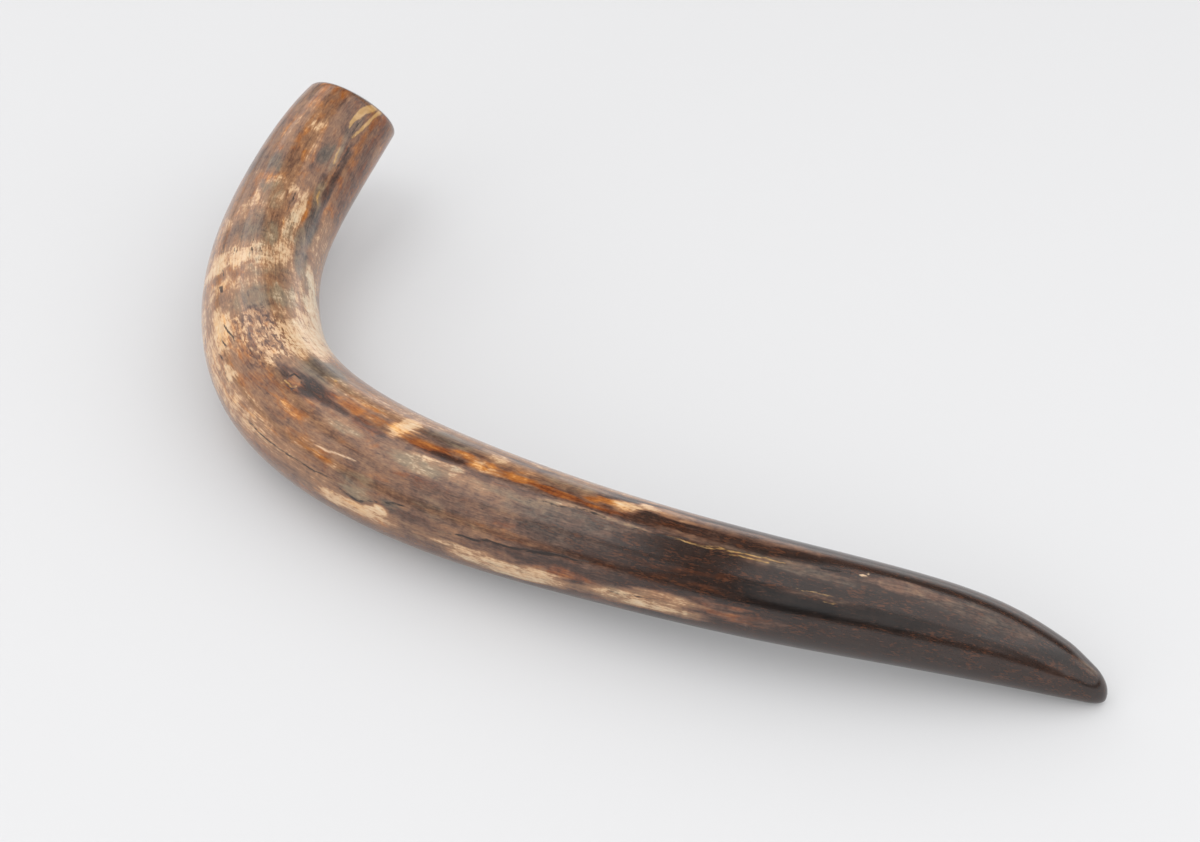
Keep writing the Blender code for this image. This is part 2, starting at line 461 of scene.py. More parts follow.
# Rusty fibres in the dark ivory: their colour and cover, how much the mottle gathers them,
# where in their grain they start and are full, and the tones at which they come and go
RUST_COLOUR = "#75452a"
RUST_COVER = 0.3
RUST_MOTTLE = 0.8
RUST_EDGE = (0.54, 0.70)
RUST_FROM_TONES = (0.6, 0.76)
RUST_TO_TONES = (1.0, 0.86)

# Marks: their colours, how much they cover, the millimetres over which each fades in, and
# how far the grain makes that edge ragged
OCHRE_PLACES = (0.0, 0.5, 1.0)
OCHRE_SHADES = ("#c9a677", "#a8834f", "#83613c")
OCHRE_MOTTLE = 1.6
OCHRE_COVER = 0.85
OCHRE_EDGE = (-0.5, 0.5)
FLECK_COLOUR = "#cfae8c"
FLECK_COVER = 0.75
FLECK_EDGE = (-0.6, 0.6)
CRACK_COLOUR = "#1d1411"
CRACK_COVER = 0.85
CRACK_EDGE = (-0.1, 0.65)
RAGGED_BY_FINE_GRAIN = 2.0
RAGGED_BY_STREAKS = 2.5

# The sawn face: millimetres from its middle to where its nerve starts and is full, and the
# same for its weave and its splits
NERVE_EDGE = (2.2, 1.2)
WEAVE_RADII = (12.0, 34.0)
SPLIT_RADII = (3.0, 9.0)
# How wide its splits are, on the scale of the noise that places them, and how many there are
SPLIT_HALF_WIDTH = (0.22, 0.08)
SPLIT_SPREAD = 1.7
# The weave's lines are drawn coarser than real ones, about 3 mm apart at the rim, to show.
WEAVE_LINES_ROUND = 64.0
WEAVE_SLANT = 1.3
RING_NOISE_PER_MM = 0.4
RING_DETAIL = 3.0
# Its tone in the middle, how much darker it is outside, how far rings and weave swing that,
# and how much rind and splits darken it
SAWN_TONE = 0.22
SAWN_OUTER_TONE = 0.32
RING_SWING = 0.7
WEAVE_SWING = 0.045
RIND_DARKENING = 0.6
SPLIT_DARKENING = 0.3
SAWN_PLACES = (0.0, 0.3, 0.55, 0.8, 1.0)
SAWN_SHADES = ("#ead9b8", "#d2b385", "#a47c53", "#6e4b33", "#33221a")
# Where on the way out from the face's middle its rind darkens, and where the wall's stains begin
RIND_BEGINS = (0.84, 0.90)
WALL_BEGINS = (0.91, 0.99)

# Ivory's own index of refraction, the roughness of its polish, and how much more that is in
# cracks and on the saw cut
IVORY_IOR = 1.54
POLISH_ROUGHNESS = 0.18
CRACK_ROUGHNESS = 0.3
SAWN_ROUGHNESS = 0.2
# The relief of the grain and the cracks: its depth and strength, and the heights of streaks and
# cracks beside the fine grain's
RELIEF_DEPTH = 0.3 * MM
RELIEF_STRENGTH = 0.12
STREAK_HEIGHT = 0.6
CRACK_HEIGHT = -3.0

# The table and its pale paper
TABLE_SIZE = 14.0
PAPER_COLOUR = "#b2b2b3"
# The paper's glow is painted light: it lifts the shadows on the table, with no lamp below it.
PAPER_GLOW_COLOUR = "#fefeff"
PAPER_GLOW = 0.11
PAPER_ROUGHNESS = 0.9
PAPER_SPECULAR = 0.2

# Softboxes over and round the table, which show in the polish: centre, the point that each
# looks at, width and depth, in metres, and the radiance of its face
SOFTBOXES = (
    ("softbox_above", (-0.97, -0.67, 1.7), (-0.97, -0.67, 0.0), 1.26, 2.06, 1.5),
    ("softbox_behind_arm", (-1.85, 1.4, 1.7), (-1.85, 1.4, 0.0), 1.5, 1.9, 1.25),
    ("softbox_beside", (1.05, 0.15, 1.7), (1.05, 0.15, 0.0), 2.0, 3.6, 1.16),
    ("softbox_right", (2.6, 0.0, 1.2), (0.2, 0.0, 0.0), 3.8, 1.8, 1.05),
    ("softbox_left", (-2.5, -0.1, 1.0), (0.0, -0.1, 0.0), 3.6, 1.6, 0.85),
    ("softbox_front_left", (-1.55, -2.35, 1.35), (-1.0, 0.0, 0.0), 2.4, 1.4, 0.9),
    ("softbox_front_right", (1.35, -2.35, 1.35), (1.0, 0.0, 0.0), 2.3, 1.4, 0.7),
)
# Pale boards that throw light back and don't show in the polish
BOUNCE_BOARDS = (
    ("bounce_front", (-0.2, -2.6, 0.9), (0.0, 0.0, 0.0), 4.6, 1.2, 1.3),
    ("bounce_back", (-0.2, 2.34, 1.1), (0.0, 0.0, 0.0), 3.6, 1.4, 0.5),
)

# The room: the light that reaches everything, and what the polish sees of it, a pale wall
# behind the table that fades upwards and sideways, over these heights and depths of a
# direction one long, in front of a dark room
ROOM_COLOUR = (0.8, 0.8, 0.8, 1.0)
ROOM_LIGHT = 1.0
DARK_ROOM = 0.03
WALL_LIGHT = 2.4
WALL_HEIGHTS = (0.46, -0.1)
WALL_DEPTHS = (0.4, 0.85)

# Settings of the nodes that the materials use most
SMOOTH = {"interpolation_type": "SMOOTHSTEP"}
COLOURS = {"data_type": "RGBA"}
PLUS = {"operation": "ADD"}
MINUS = {"operation": "SUBTRACT"}
TIMES = {"operation": "MULTIPLY"}
TIMES_PLUS = {"operation": "MULTIPLY_ADD"}
LARGER = {"operation": "MAXIMUM"}
SINE = {"operation": "SINE"}


def sight(azimuth, elevation):
    """The direction from the tusk towards a camera at an azimuth and an elevation in degrees."""
    turn, rise = math.radians(azimuth), math.radians(elevation)
    return Vector((math.sin(turn) * math.cos(rise), -math.cos(turn) * math.cos(rise), math.sin(rise)))


def add_camera():
    """The camera that sees the tusk as the photograph does, with plain colours."""
    bpy.ops.object.camera_add()
    camera = bpy.context.object
    camera.name = "camera"
    back = sight(CAMERA_AZIMUTH, CAMERA_ELEVATION)
    camera.location = CAMERA_TARGET + back * CAMERA_DISTANCE
    camera.rotation_euler = back.to_track_quat("Z", "Y").to_euler()
    camera.data.lens = CAMERA_LENS
    camera.data.sensor_width = CAMERA_SENSOR
    bpy.context.scene.camera = camera
    bpy.context.scene.view_settings.view_transform = "Standard"


# The shape

def natural_spline(knots, values, places):
    """Values at the places on the natural cubic curve through the values at the knots."""
    gaps = np.diff(knots)
    slopes = np.diff(values) / gaps
    count = len(knots)
    matrix = np.eye(count)
    right_side = np.zeros(count)
    for i in range(1, count - 1):
        matrix[i, i - 1] = gaps[i - 1]
        matrix[i, i] = 2 * (gaps[i - 1] + gaps[i])
        matrix[i, i + 1] = gaps[i]
        right_side[i] = 6 * (slopes[i] - slopes[i - 1])
    bends = np.linalg.solve(matrix, right_side)
    span = np.clip(np.searchsorted(knots, places, side="right") - 1, 0, count - 2)
    along = places - knots[span]
    gap = gaps[span]
    first = slopes[span] - gap * (2 * bends[span] + bends[span + 1]) / 6
    third = (bends[span + 1] - bends[span]) / (6 * gap)
    return values[span] + along * (first + along * (bends[span] / 2 + along * third))


def growth_knots():
    """Middles, radii and places along, in metres, of the growth line's points."""
    table = np.array(GROWTH_LINE, dtype=float) * MM
    middles = np.column_stack((table[:, 0], table[:, 1], table[:, 2] + table[:, 3]))
    steps = np.linalg.norm(np.diff(middles, axis=0), axis=1)
    return middles, table[:, 3], np.concatenate(([0.0], np.cumsum(steps)))


def growth_curve(places):
    """Middle, radius, sideways, upwards and ahead at places along the growth line."""
    middles, radii, knots = growth_knots()
    fine = np.linspace(-CURVE_MARGIN, knots[-1] + CURVE_MARGIN, CURVE_SAMPLES)
    line = np.column_stack([natural_spline(knots, middles[:, i], fine) for i in range(3)])
    slope = np.gradient(line, fine, axis=0)
    ahead = np.column_stack([np.interp(places, fine, slope[:, i]) for i in range(3)])
    ahead /= np.linalg.norm(ahead, axis=1)[:, None]
    sideways = np.cross((0.0, 0.0, 1.0), ahead)
    sideways /= np.linalg.norm(sideways, axis=1)[:, None]
    upwards = np.cross(ahead, sideways)
    centre = np.column_stack([natural_spline(knots, middles[:, i], places) for i in range(3)])
    return centre, natural_spline(knots, radii, places), sideways, upwards, ahead


def swelling(angles, shares):
    """Radius at angles round the tusk, as a share of the plain radius."""
    fade = np.minimum(1.0, (1.0 - shares) / PLAIN_TIP)
    height = np.zeros(len(angles))
    for waves, size, turn, start in SWELLINGS:
        height += size * np.cos(waves * angles + start + turn * shares)
    return 1.0 + height * fade


def wall_points(places, angles, length):
    """Points on the tusk's wall at places along it and angles round it, and their radius."""
    centre, radius, sideways, upwards, _ = growth_curve(places)
    worn = TIP_WEAR * np.clip(1 - (length - places) / TIP_WEAR_LENGTH, 0.0, 1.0) ** TIP_WEAR_POWER
    centre -= upwards * (worn * radius)[:, None]
    radius *= 1 - worn
    reach = radius * swelling(angles, places / length)
    across = (reach * np.sin(angles))[:, None] * sideways
    return centre + across + (reach * np.cos(angles))[:, None] * upwards, reach


def saw_plane():
    """A point on the saw cut, and the way that its face looks."""
    middles, _, _ = growth_knots()
    outwards = Vector(middles[0] - middles[1]).normalized()
    sideways = Vector((0, 0, 1)).cross(outwards).normalized()
    upwards = outwards.cross(sideways)
    lean_up = Matrix.Rotation(-SAW_LEANS_UP, 3, sideways)
    lean_out = Matrix.Rotation(SAW_LEANS_OUT, 3, upwards)
    return Vector(middles[1]) + outwards * SAW_OFFSET, lean_out @ lean_up @ outwards


def sawn_rim(angles, length):
    """The place along at which the saw cut meets the wall at each angle."""
    point, across = saw_plane()
    places = np.linspace(0.0, SAW_SEARCH, SAW_SEARCH_STEPS + 1)
    heights = []
    for place in places:
        wall, _ = wall_points(np.full(len(angles), place), angles, length)
        heights.append((wall - np.array(point)) @ np.array(across))
    heights = np.array(heights)
    first = (heights > 0).sum(axis=0) - 1
    column = np.arange(len(angles))
    before, after = heights[first, column], heights[first + 1, column]
    return places[first] + (places[1] - places[0]) * before / (before - after)


def tusk_rows():
    """Every row of the tusk's points, with the place along, angle and radius of each point,
    and how far out it is on the sawn face, from 0 in its middle to 1 on the wall."""
    _, _, knots = growth_knots()
    length = knots[-1]
    angles = np.arange(POINTS_ROUND) * 2 * math.pi / POINTS_ROUND
    rim_places = sawn_rim(angles, length)
    rim, rim_reach = wall_points(rim_places, angles, length)
    inner = np.clip(np.cos(angles - INNER_EDGE_ANGLE), 0.0, 1.0)
    edge = SAWN_EDGE_RADIUS + INNER_EDGE_WEAR * inner * inner
    start = rim_places + edge
    wall_start, _ = wall_points(start, angles, length)
    middle = rim.mean(axis=0)
    inwards = middle - rim
    inwards /= np.linalg.norm(inwards, axis=1)[:, None]
    face_edge = rim + inwards * edge[:, None]
    rows, places, reaches, outwards = [], [], [], []

    for k in range(FACE_ROWS):
        share = k / FACE_ROWS
        rows.append(middle + (face_edge - middle) * share)
        places.append(rim_places)
        reaches.append(rim_reach * share)
        outwards.append(np.full(POINTS_ROUND, EDGE_BEGINS * share))
    for k in range(EDGE_ROWS):
        turn = 0.5 * math.pi * (1 - k / EDGE_ROWS)
        towards_wall, towards_face = 1 - math.sin(turn), 1 - math.cos(turn)
        rows.append(rim + towards_wall * (wall_start - rim) + towards_face * (face_edge - rim))
        places.append(rim_places + towards_wall * edge)
        reaches.append(rim_reach)
        outwards.append(np.full(POINTS_ROUND, EDGE_BEGINS + (1 - EDGE_BEGINS) * k / EDGE_ROWS))
    for k in range(WALL_ROWS):
        along = start + (length - start) * k / (WALL_ROWS - 1)
        points, reach = wall_points(along, angles, length)
        rows.append(points)
        places.append(along)
        reaches.append(reach)
        outwards.append(np.ones(POINTS_ROUND))
    centre, radius, sideways, upwards, ahead = growth_curve(np.full(POINTS_ROUND, length))
    base = radius * (1 - TIP_WEAR)
    for k in range(1, NOSE_ROWS + 1):
        turn = NOSE_START + (0.5 * math.pi - NOSE_START) * k / NOSE_ROWS
        past_end = NOSE_LENGTH * (math.sin(turn) - math.sin(NOSE_START)) / (1 - math.sin(NOSE_START))
        reach = base * math.cos(turn) / math.cos(NOSE_START)
        lowered = radius - base + NOSE_DROOP * (base - reach)
        nose = centre + ahead * past_end - upwards * lowered[:, None]
        nose += sideways * (reach * np.sin(angles))[:, None] + upwards * (reach * np.cos(angles))[:, None]
        rows.append(nose)
        places.append(np.full(POINTS_ROUND, length + past_end))
        reaches.append(reach)
        outwards.append(np.ones(POINTS_ROUND))
    turned = np.tile(angles, len(rows))
    places, reaches, outwards = np.concatenate(places), np.concatenate(reaches), np.concatenate(outwards)
    return np.concatenate(rows), places, turned, reaches, outwards


def straight_bar():
    """A straight tube along Z, swept from a circle, with a row for each row of the tusk."""
    bpy.ops.object.select_all(action="DESELECT")
    bpy.ops.mesh.primitive_circle_add(vertices=POINTS_ROUND, radius=1.0, fill_type="NOTHING")
    bar = bpy.context.object
    sweep = bar.modifiers.new("sweep", "SCREW")
    sweep.angle = 0.0
    sweep.screw_offset = 1.0
    sweep.steps = FACE_ROWS + EDGE_ROWS + WALL_ROWS + NOSE_ROWS - 1
    sweep.render_steps = sweep.steps
    sweep.use_smooth_shade = True
    bpy.ops.object.modifier_apply(modifier="sweep")
    return bar


def read_points(piece):
    flat = np.empty(len(piece.data.vertices) * 3)
    piece.data.vertices.foreach_get("co", flat)
    return flat.reshape(-1, 3)


def write_points(piece, points):
    piece.data.vertices.foreach_set("co", np.ascontiguousarray(points).ravel())
    piece.data.update()


def store(piece, name, values):
    """Keeps a value, or a vector, of each point with the piece."""
    kind = "FLOAT_VECTOR" if np.ndim(values) == 2 else "FLOAT"
    attribute = piece.data.attributes.new(name, kind, "POINT")
    key = "vector" if np.ndim(values) == 2 else "value"
    attribute.data.foreach_set(key, np.ascontiguousarray(values, dtype=np.float32).ravel())


def make_tusk():
    """The tusk: swept, tapered and bent along its growth line, with what its finish needs."""
    bar = straight_bar()
    bar.name = "stained_ivory_tusk"
    plain = read_points(bar)
    points, places, angles, reaches, outwards = tusk_rows()
    row_count = len(points) // POINTS_ROUND
    row = np.rint(plain[:, 2] * (row_count - 1)).astype(int)
    column = np.rint(np.arctan2(plain[:, 0], plain[:, 1]) / (2 * math.pi) * POINTS_ROUND).astype(int)
    order = row * POINTS_ROUND + column % POINTS_ROUND
    write_points(bar, points[order])
    along, angle, reach = places[order] / MM, angles[order], reaches[order] / MM
    degrees = (np.degrees(angle) + 180) % 360 - 180
    store(bar, "grain", np.column_stack((along, reach * np.sin(angle), reach * np.cos(angle))))
    store(bar, "outwards", outwards[order])
    store_stains(bar, along, degrees, np.maximum(reach, LEAST_REACH))
    store_marks(bar, along, degrees, reach)

    bpy.ops.object.mode_set(mode="EDIT")
    bpy.ops.mesh.select_all(action="SELECT")
    bpy.ops.mesh.remove_doubles(threshold=WELD_DISTANCE)
    bpy.ops.mesh.normals_make_consistent(inside=False)
    bpy.ops.object.mode_set(mode="OBJECT")
    points = read_points(bar)
    write_points(bar, points - points.min(axis=0) + CAD_BOX[0])
    return bar


# The stains

def soft_step(values, start, full):
    """0 at the start, 1 where it is full, and smooth between them."""
    share = np.clip((values - start) / (full - start), 0.0, 1.0)
    return share * share * (3 - 2 * share)


def drift(along, angle, reach, pattern):
    """A drift's smooth random numbers, between about its strength below and above 0."""
    length_scale, width_scale, start, strength = pattern
    across = reach * np.sin(np.radians(angle)) / width_scale
    height = reach * np.cos(np.radians(angle)) / width_scale + start
    values = [noise.noise(place) for place in zip(along / length_scale, across, height)]
    return strength * np.array(values)


def store_stains(bar, along, angle, reach):
    """Keeps the tone, warmth and spottiness of the ivory at each point."""
    fringe = drift(along, angle, reach, FRINGE)
    fringe += drift(along, angle, reach, FINE_FRINGE)
    sway = drift(along, angle, reach, SWAY)
    waver = drift(along, angle, reach, WAVER)
    swerve = drift(along, angle, reach, SWERVE)
    moved_along = along + fringe + waver
    moved_angle = angle + (swerve + sway) * MIDDLE_REACH / reach
    tone = np.interp(along, *zip(*TONE_ALONG)) + drift(along, angle, reach, TONE_DRIFT)
    warmth = np.interp(along, *zip(*WARMTH_ALONG)) + drift(along, angle, reach, WARMTH_DRIFT)
    for place, turn, half_length, half_width, patch_tone, patch_warmth in PATCHES:
        across = (moved_angle - turn + 180) % 360 - 180
        distance = np.hypot((moved_along - place) / half_length, across / half_width)
        cover = soft_step(distance, PATCH_FADES_IN, PATCH_IS_FULL)
        tone += (patch_tone - tone) * cover
        warmth += (patch_warmth - warmth) * cover
    from_spots = np.hypot(
        (moved_along - SPOTTED_ALONG) / SPOTTED_HALF_LENGTH,
        (moved_angle - SPOTTED_ANGLE) / SPOTTED_HALF_WIDTH,
    )
    store(bar, "tone", tone)
    store(bar, "warmth", warmth)
    store(bar, "spots", soft_step(from_spots, SPOTS_FADE_IN, SPOTS_ARE_FULL))


def depth_in(strokes, along, angle, reach):
    """How many millimetres each point is inside the nearest stroke, and negative outside."""
    depth = np.full(len(along), FAR_OUTSIDE)
    for stroke in strokes:
        for (place, turn, width), (next_place, next_turn, next_width) in zip(stroke, stroke[1:]):
            run = next_place - place
            near = np.abs(along - (place + next_place) / 2) < abs(run) / 2 + STROKE_SEARCH
            ahead = along[near] - place
            across = np.radians(angle[near] - turn) * reach[near]
            rise = np.radians(next_turn - turn) * reach[near]
            share = np.clip((ahead * run + across * rise) / (run * run + rise * rise), 0.0, 1.0)
            gap = np.hypot(ahead - share * run, across - share * rise)
            depth[near] = np.maximum(depth[near], width + (next_width - width) * share - gap)
    return depth


def store_marks(bar, along, angle, reach):
    """Keeps how deep each point is in the ochre veins, the pale flecks and the dark lines."""
    reach_here = np.maximum(reach, LEAST_REACH)
    wavy = angle + drift(along, angle, reach_here, WRIGGLE) * MIDDLE_REACH / reach_here
    store(bar, "ochre", depth_in(OCHRE_VEINS, along, wavy, reach))
    store(bar, "pale", depth_in(PALE_FLECKS, along, wavy, reach))
    store(bar, "crack", depth_in(DARK_LINES, along, wavy, reach))


# The materials

def linear(hex_colour):
    """An sRGB colour turned, by the standard's formula, to the linear values that Blender uses."""
    colour = []
    for start in (1, 3, 5):
        value = int(hex_colour[start:start + 2], 16) / 255
        colour.append(value / 12.92 if value <= 0.04045 else ((value + 0.055) / 1.055) ** 2.4)
    return colour + [1.0]


def set_stops(ramp, places, colours):
    """Gives a colour ramp a colour at each place."""
    stops = ramp.elements
    while len(stops) < len(colours):
        stops.new(0.5)
    for stop, place, colour in zip(stops, places, colours):
        stop.position = place
        stop.color = linear(colour)


def add_node(tree, kind, settings, inputs, output=0):
    """Adds a node with its settings, sets or links its inputs, which are given in their order
    or by name or number, and returns one of its outputs."""
    node = tree.nodes.new("ShaderNode" + kind)
    for name, value in settings.items():
        if name == "shades":
            set_stops(node.color_ramp, *value)
        else:
            setattr(node, name, value)
    for key, value in inputs.items() if isinstance(inputs, dict) else enumerate(inputs):
        if isinstance(value, bpy.types.NodeSocket):
            tree.links.new(value, node.inputs[key])
        else:
            node.inputs[key].default_value = value
    return node.outputs[output]


def grain_noise(tree, pattern):
    """Noise round 0.5 that is drawn out along the tusk."""
    length, width, detail, bend, start = pattern
    grain = add_node(tree, "Attribute", {"attribute_name": "grain"}, {}, "Vector")
    inputs = (grain, (1 / length, 1 / width, 1 / width), (start,) * 3)
    scaled = add_node(tree, "VectorMath", TIMES_PLUS, inputs)
    inputs = {"Vector": scaled, "Scale": 1.0, "Detail": detail, "Roughness": GRAIN_ROUGHNESS}
    return add_node(tree, "TexNoise", {}, {**inputs, "Distortion": bend})


def add_swing(tree, value, grain, amount):
    """A value with a grain, taken round its middle, added to it."""
    swing = add_node(tree, "Math", MINUS, (grain, 0.5))
    return add_node(tree, "Math", TIMES_PLUS, (swing, amount, value))


def paint_over(tree, colour, cover, strength, paint):
    """A colour with another over it, as much as it covers there."""
    share = add_node(tree, "Math", TIMES, (cover, strength))
    return add_node(tree, "Mix", COLOURS, {0: share, 6: colour, 7: paint}, 2)


def mark_cover(tree, name, ragged, edge):
    """How much of the ivory a kind of mark covers, from 0 to 1, with a ragged edge."""
    depth = add_node(tree, "Attribute", {"attribute_name": name}, {}, "Fac")
    depth = add_node(tree, "Math", PLUS, (depth, ragged))
    return add_node(tree, "MapRange", SMOOTH, (depth, *edge))


def sawn_splits(tree, turn, radius):
    """The fine splits that run out from the nerve of the sawn face, from 0 to 1."""
    inputs = {"W": turn, "Scale": SPLIT_SPREAD, "Detail": 0.0}
    off_line = add_node(tree, "TexNoise", {"noise_dimensions": "1D"}, inputs)
    off_line = add_node(tree, "Math", MINUS, (off_line, 0.5))
    off_line = add_node(tree, "Math", {"operation": "ABSOLUTE"}, (off_line,))
    off_line = add_node(tree, "Math", TIMES, (off_line, radius))
    split = add_node(tree, "MapRange", SMOOTH, (off_line, *SPLIT_HALF_WIDTH))
    past_nerve = add_node(tree, "MapRange", SMOOTH, (radius, *SPLIT_RADII))
    return add_node(tree, "Math", TIMES, (split, past_nerve))


def sawn_colour(tree, outwards):
    """The cut face of old ivory: growth rings round a dark nerve, the weave that only tusks
    have towards the outside, a few fine splits and a dark rind."""
    grain = add_node(tree, "Attribute", {"attribute_name": "grain"}, {}, "Vector")
    across = add_node(tree, "SeparateXYZ", {}, (grain,), "Y")
    height = across.node.outputs["Z"]
    squared = add_node(tree, "Math", TIMES, (height, height))
    squared = add_node(tree, "Math", TIMES_PLUS, (across, across, squared))
    radius = add_node(tree, "Math", {"operation": "SQRT"}, (squared,))
    turn = add_node(tree, "Math", {"operation": "ARCTAN2"}, (across, height))
    ring_place = add_node(tree, "Math", TIMES, (radius, RING_NOISE_PER_MM))
    ring_place = add_node(tree, "CombineXYZ", {}, (ring_place, turn))
    inputs = {"Vector": ring_place, "Scale": 1.0, "Detail": RING_DETAIL}
    rings = add_node(tree, "TexNoise", {}, inputs)

    lines = add_node(tree, "Math", TIMES, (turn, WEAVE_LINES_ROUND))
    leaning_left = add_node(tree, "Math", TIMES_PLUS, (radius, WEAVE_SLANT, lines))
    leaning_left = add_node(tree, "Math", SINE, (leaning_left,))
    leaning_right = add_node(tree, "Math", TIMES_PLUS, (radius, -WEAVE_SLANT, lines))
    leaning_right = add_node(tree, "Math", SINE, (leaning_right,))
    weave = add_node(tree, "Math", TIMES, (leaning_left, leaning_right))
    outer = add_node(tree, "MapRange", SMOOTH, (radius, *WEAVE_RADII))
    weave = add_node(tree, "Math", TIMES, (weave, outer))

    tone = add_node(tree, "Math", TIMES_PLUS, (outer, SAWN_OUTER_TONE, SAWN_TONE))
    tone = add_swing(tree, tone, rings, RING_SWING)
    tone = add_node(tree, "Math", TIMES_PLUS, (weave, WEAVE_SWING, tone))
    nerve = add_node(tree, "MapRange", SMOOTH, (radius, *NERVE_EDGE))
    rind = add_node(tree, "MapRange", SMOOTH, (outwards, *RIND_BEGINS))
    rind = add_node(tree, "Math", TIMES, (rind, RIND_DARKENING))
    split = add_node(tree, "Math", TIMES, (sawn_splits(tree, turn, radius), SPLIT_DARKENING))
    dark = add_node(tree, "Math", LARGER, (nerve, rind))
    dark = add_node(tree, "Math", LARGER, (dark, split))
    tone = add_node(tree, "Math", PLUS, (tone, dark))
    return add_node(tree, "ValToRGB", {"shades": (SAWN_PLACES, SAWN_SHADES)}, (tone,))


def grained_tone(tree, grains):
    """The ivory's tone with its grain and its spots, which fade where it is dark."""
    tone = add_node(tree, "Attribute", {"attribute_name": "tone"}, {}, "Fac")
    swing = 0.0
    for grain, amount in grains:
        swing = add_swing(tree, swing, grain, amount)
    contrast = add_node(tree, "Math", TIMES_PLUS, (tone, GRAIN_LOST_IN_DARK, GRAIN_ON_PALE))
    tone = add_node(tree, "Math", TIMES_PLUS, (swing, contrast, tone))
    spotted = add_node(tree, "Attribute", {"attribute_name": "spots"}, {}, "Fac")
    spots = add_node(tree, "MapRange", SMOOTH, (grain_noise(tree, SPOTTING), *SPOT_EDGE))
    spots = add_node(tree, "Math", TIMES, (spots, spotted))
    return add_node(tree, "Math", TIMES_PLUS, (spots, SPOT_DARKENING, tone))


def stain_colour(tree, tone, mottle):
    """The ivory's colour at a tone: cool, brown or amber by its warmth, with rusty fibres."""
    warmth = add_node(tree, "Attribute", {"attribute_name": "warmth"}, {}, "Fac")
    warmth = add_swing(tree, warmth, grain_noise(tree, TINT), TINT_SWING)
    cool = add_node(tree, "ValToRGB", {"shades": (SHADE_PLACES, COOL_SHADES)}, (tone,))
    brown = add_node(tree, "ValToRGB", {"shades": (SHADE_PLACES, BROWN_SHADES)}, (tone,))
    amber = add_node(tree, "ValToRGB", {"shades": (SHADE_PLACES, AMBER_SHADES)}, (tone,))
    share = add_node(tree, "MapRange", SMOOTH, (warmth, *COOL_TO_BROWN))
    colour = add_node(tree, "Mix", COLOURS, {0: share, 6: cool, 7: brown}, 2)
    share = add_node(tree, "MapRange", SMOOTH, (warmth, *BROWN_TO_AMBER))
    colour = add_node(tree, "Mix", COLOURS, {0: share, 6: colour, 7: amber}, 2)

    rust = add_swing(tree, grain_noise(tree, RUST_GRAIN), mottle, RUST_MOTTLE)
    rust = add_node(tree, "MapRange", SMOOTH, (rust, *RUST_EDGE))
    for start, full in (RUST_FROM_TONES, RUST_TO_TONES):
        share = add_node(tree, "MapRange", SMOOTH, (tone, start, full))
        rust = add_node(tree, "Math", TIMES, (rust, share))
    return paint_over(tree, colour, rust, RUST_COVER, linear(RUST_COLOUR))


def stained_ivory():
    """Ivory that lay in the ground: cream where it is clean, brown to black where iron and
    manganese stained it along its grain, and polished to a soft gloss."""
    material = bpy.data.materials.new("polished_stained_ivory")
    material.use_nodes = True
    tree = material.node_tree
    shader = tree.nodes["Principled BSDF"]
    streaks = grain_noise(tree, STREAKS)
    mottle = grain_noise(tree, MOTTLE)
    fine = grain_noise(tree, FINE_GRAIN)
    grains = (
        (streaks, STREAK_SWING),
        (grain_noise(tree, THREADS), THREAD_SWING),
        (mottle, MOTTLE_SWING),
        (grain_noise(tree, BANDS), BAND_SWING),
        (fine, FINE_SWING),
    )
    colour = stain_colour(tree, grained_tone(tree, grains), mottle)

    ragged = add_swing(tree, 0.0, fine, RAGGED_BY_FINE_GRAIN)
    ragged = add_swing(tree, ragged, streaks, RAGGED_BY_STREAKS)
    ochre_tone = add_swing(tree, 0.5, mottle, OCHRE_MOTTLE)
    ochre_colour = add_node(tree, "ValToRGB", {"shades": (OCHRE_PLACES, OCHRE_SHADES)}, (ochre_tone,))
    ochre = mark_cover(tree, "ochre", ragged, OCHRE_EDGE)
    colour = paint_over(tree, colour, ochre, OCHRE_COVER, ochre_colour)
    flecks = mark_cover(tree, "pale", ragged, FLECK_EDGE)
    colour = paint_over(tree, colour, flecks, FLECK_COVER, linear(FLECK_COLOUR))
    crack = mark_cover(tree, "crack", ragged, CRACK_EDGE)
    colour = paint_over(tree, colour, crack, CRACK_COVER, linear(CRACK_COLOUR))

    outwards = add_node(tree, "Attribute", {"attribute_name": "outwards"}, {}, "Fac")
    wall = add_node(tree, "MapRange", SMOOTH, (outwards, *WALL_BEGINS))
    colour = add_node(tree, "Mix", COLOURS, {0: wall, 6: sawn_colour(tree, outwards), 7: colour}, 2)
    tree.links.new(colour, shader.inputs["Base Color"])
    shader.inputs["IOR"].default_value = IVORY_IOR

    rough = add_node(tree, "Math", TIMES_PLUS, (crack, CRACK_ROUGHNESS, POLISH_ROUGHNESS))
    rough = add_node(tree, "Math", PLUS, (rough, SAWN_ROUGHNESS))
    rough = add_node(tree, "Math", TIMES_PLUS, (wall, -SAWN_ROUGHNESS, rough))
    tree.links.new(rough, shader.inputs["Roughness"])
    height = add_node(tree, "Math", TIMES_PLUS, (streaks, STREAK_HEIGHT, fine))
    height = add_node(tree, "Math", TIMES_PLUS, (crack, CRACK_HEIGHT, height))
    inputs = {"Strength": RELIEF_STRENGTH, "Distance": RELIEF_DEPTH, "Height": height}
    tree.links.new(add_node(tree, "Bump", {}, inputs), shader.inputs["Normal"])
    return material


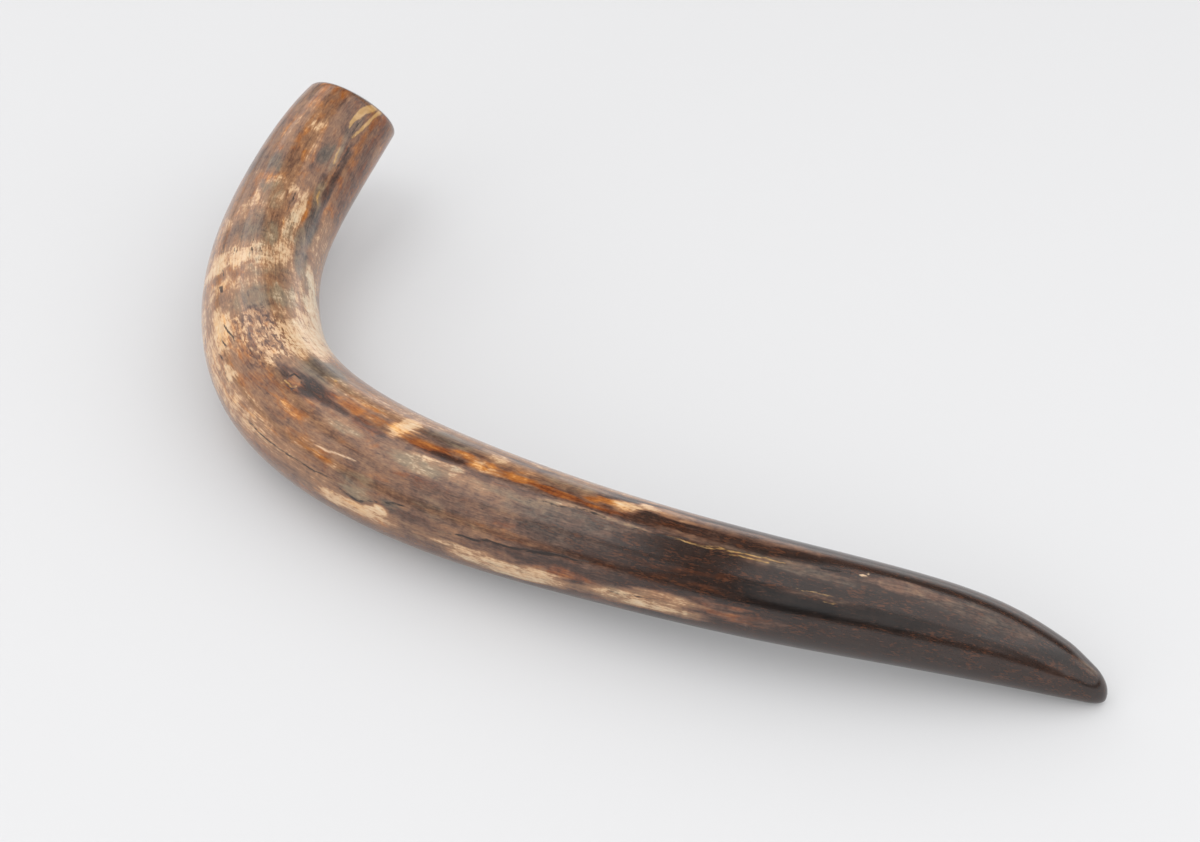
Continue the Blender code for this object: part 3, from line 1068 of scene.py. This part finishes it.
def table_paper():
    """Matt paper with a faint glow of its own painted in, which keeps the shadows on it pale."""
    material = bpy.data.materials.new("pale_backdrop_paper")
    material.use_nodes = True
    shader = material.node_tree.nodes["Principled BSDF"]
    shader.inputs["Base Color"].default_value = linear(PAPER_COLOUR)
    shader.inputs["Emission Color"].default_value = linear(PAPER_GLOW_COLOUR)
    shader.inputs["Emission Strength"].default_value = PAPER_GLOW
    shader.inputs["Roughness"].default_value = PAPER_ROUGHNESS
    shader.inputs["Specular IOR Level"].default_value = PAPER_SPECULAR
    return material


# The table and the light

def add_floor():
    """The table, wide enough to fill the picture."""
    bpy.ops.object.select_all(action="DESELECT")
    bpy.ops.mesh.primitive_plane_add(size=TABLE_SIZE)
    floor = bpy.context.object
    floor.name = "floor"
    floor.data.materials.append(table_paper())


def add_softbox(name, centre, aim, width, depth, brightness):
    """A flat white light: centre and aim in metres, brightness as the radiance of its face."""
    bpy.ops.object.light_add(type="AREA", location=centre)
    lamp = bpy.context.object
    lamp.name = name
    away = (Vector(centre) - Vector(aim)).normalized()
    looks_straight_down = centre[:2] == aim[:2]
    level = Vector((1, 0, 0)) if looks_straight_down else Vector((0, 0, 1)).cross(away).normalized()
    lamp.rotation_euler = Matrix((level, away.cross(level), away)).transposed().to_euler()
    lamp.data.shape = "RECTANGLE"
    lamp.data.size = width
    lamp.data.size_y = depth
    lamp.data.energy = brightness * math.pi * width * depth
    return lamp


def add_light():
    """The softboxes, and the boards that light the scene but don't show in the polish."""
    for softbox in SOFTBOXES:
        add_softbox(*softbox)
    for board in BOUNCE_BOARDS:
        add_softbox(*board).visible_glossy = False


def add_room():
    """The room's light, and the pale wall and the dark room that the polish reflects."""
    world = bpy.data.worlds.new("studio")
    bpy.context.scene.world = world
    world.use_nodes = True
    tree = world.node_tree
    direction = add_node(tree, "TexCoord", {}, {}, "Generated")
    depth = add_node(tree, "SeparateXYZ", {}, (direction,), "Y")
    height = depth.node.outputs["Z"]
    low = add_node(tree, "MapRange", SMOOTH, (height, *WALL_HEIGHTS))
    behind = add_node(tree, "MapRange", SMOOTH, (depth, *WALL_DEPTHS))
    wall = add_node(tree, "Math", TIMES, (low, behind))
    seen = add_node(tree, "Math", TIMES_PLUS, (wall, WALL_LIGHT, DARK_ROOM))
    reflected = add_node(tree, "LightPath", {}, {}, "Is Glossy Ray")
    strength = add_node(tree, "Mix", {}, {0: reflected, 2: ROOM_LIGHT, 3: seen})
    background = tree.nodes["Background"]
    background.inputs["Color"].default_value = ROOM_COLOUR
    tree.links.new(strength, background.inputs["Strength"])


add_camera()
add_floor()
add_light()
add_room()
tusk = make_tusk()
tusk.data.materials.append(stained_ivory())
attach(tusk, "root")
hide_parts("tusk")
